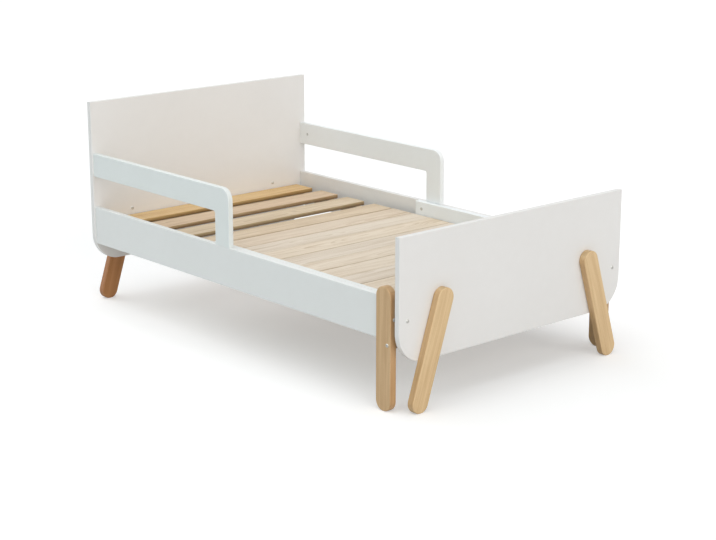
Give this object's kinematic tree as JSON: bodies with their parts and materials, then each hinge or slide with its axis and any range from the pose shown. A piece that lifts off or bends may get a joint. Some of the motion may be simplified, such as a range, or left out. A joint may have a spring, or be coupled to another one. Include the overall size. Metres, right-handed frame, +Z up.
{
  "type": "extendable kids bed",
  "caption": "Low extendable child's bed with plain white boards, splayed wooden legs, short side guards and a slatted base whose foot half slides out.",
  "frame": {"origin": "on the floor under the middle of the closed bed", "axes": "+X to the sleeper's right, +Y to the headboard, +Z up; metres; left is -X"},
  "size_m": [0.996, 1.692, 0.74],
  "materials": {
    "white_lacquer": "satin white lacquer on board",
    "beech": "clear matt lacquer",
    "pine": "sanded, untreated",
    "pine_golden": "sanded, untreated",
    "pine_batten": "sanded, untreated",
    "beech_dowel": "fluted, untreated",
    "zinc_steel": "zinc plated",
    "nut_steel": "zinc plated",
    "nylon": "natural"
  },
  "bodies": {
    "head_section": {"headboard": "white_lacquer", "head_leg_left": "beech", "head_leg_right": "beech", "side_rail_left": "white_lacquer", "side_rail_right": "white_lacquer", "guard_left": "white_lacquer", "guard_right": "white_lacquer", "mid_leg_left": "beech", "mid_leg_right": "beech", "cross_beam": "pine_batten", "head_ledger": "pine_batten", "bearer_left": "pine_batten", "bearer_right": "pine_batten", "slat_01": "pine_golden", "slat_02": "pine", "slat_03": "pine", "slat_04": "pine", "head_leg_bolts": "zinc_steel", "head_rail_bolts": "zinc_steel", "mid_leg_bolts": "zinc_steel", "guard_bolts": "zinc_steel", "guard_post_bolts": "zinc_steel", "beam_bolts": "zinc_steel", "head_barrel_nuts": "nut_steel", "head_dowels": "beech_dowel"},
    "foot_section": {"footboard": "white_lacquer", "foot_leg_left": "beech", "foot_leg_right": "beech", "inner_rail_left": "white_lacquer", "inner_rail_right": "white_lacquer", "slat_ledge_left": "pine_batten", "slat_ledge_right": "pine_batten", "slat_14": "pine", "foot_leg_bolts": "zinc_steel", "foot_rail_bolts": "zinc_steel", "foot_barrel_nuts": "nut_steel", "foot_dowels": "beech_dowel", "guide_bolts": "zinc_steel", "guide_bushes": "nylon"},
    "moving_slat_05": {"slat_05": "pine"},
    "moving_slat_06": {"slat_06": "pine"},
    "moving_slat_07": {"slat_07": "pine"},
    "moving_slat_08": {"slat_08": "pine"},
    "moving_slat_09": {"slat_09": "pine"},
    "moving_slat_10": {"slat_10": "pine"},
    "moving_slat_11": {"slat_11": "pine"},
    "moving_slat_12": {"slat_12": "pine"},
    "moving_slat_13": {"slat_13": "pine"}
  },
  "joints": [
    {"name": "bed_extension", "type": "slide", "parent": "head_section", "child": "foot_section", "axis": [0, -1, 0], "range_m": [0, 0.4]},
    {"name": "slat_gap_04_05", "type": "slide", "parent": "head_section", "child": "moving_slat_05", "axis": [0, -1, 0], "range_m": [0, 0.04]},
    {"name": "slat_gap_05_06", "type": "slide", "parent": "moving_slat_05", "child": "moving_slat_06", "axis": [0, -1, 0], "range_m": [0, 0.04]},
    {"name": "slat_gap_06_07", "type": "slide", "parent": "moving_slat_06", "child": "moving_slat_07", "axis": [0, -1, 0], "range_m": [0, 0.04]},
    {"name": "slat_gap_07_08", "type": "slide", "parent": "moving_slat_07", "child": "moving_slat_08", "axis": [0, -1, 0], "range_m": [0, 0.04]},
    {"name": "slat_gap_08_09", "type": "slide", "parent": "moving_slat_08", "child": "moving_slat_09", "axis": [0, -1, 0], "range_m": [0, 0.04]},
    {"name": "slat_gap_09_10", "type": "slide", "parent": "moving_slat_09", "child": "moving_slat_10", "axis": [0, -1, 0], "range_m": [0, 0.04]},
    {"name": "slat_gap_10_11", "type": "slide", "parent": "moving_slat_10", "child": "moving_slat_11", "axis": [0, -1, 0], "range_m": [0, 0.04]},
    {"name": "slat_gap_11_12", "type": "slide", "parent": "moving_slat_11", "child": "moving_slat_12", "axis": [0, -1, 0], "range_m": [0, 0.04]},
    {"name": "slat_gap_12_13", "type": "slide", "parent": "moving_slat_12", "child": "moving_slat_13", "axis": [0, -1, 0], "range_m": [0, 0.04]}
  ],
  "couplings": [
    {"joint": "slat_gap_04_05", "follows": "bed_extension", "ratio": 0.1},
    {"joint": "slat_gap_05_06", "follows": "bed_extension", "ratio": 0.1},
    {"joint": "slat_gap_06_07", "follows": "bed_extension", "ratio": 0.1},
    {"joint": "slat_gap_07_08", "follows": "bed_extension", "ratio": 0.1},
    {"joint": "slat_gap_08_09", "follows": "bed_extension", "ratio": 0.1},
    {"joint": "slat_gap_09_10", "follows": "bed_extension", "ratio": 0.1},
    {"joint": "slat_gap_10_11", "follows": "bed_extension", "ratio": 0.1},
    {"joint": "slat_gap_11_12", "follows": "bed_extension", "ratio": 0.1},
    {"joint": "slat_gap_12_13", "follows": "bed_extension", "ratio": 0.1}
  ]
}
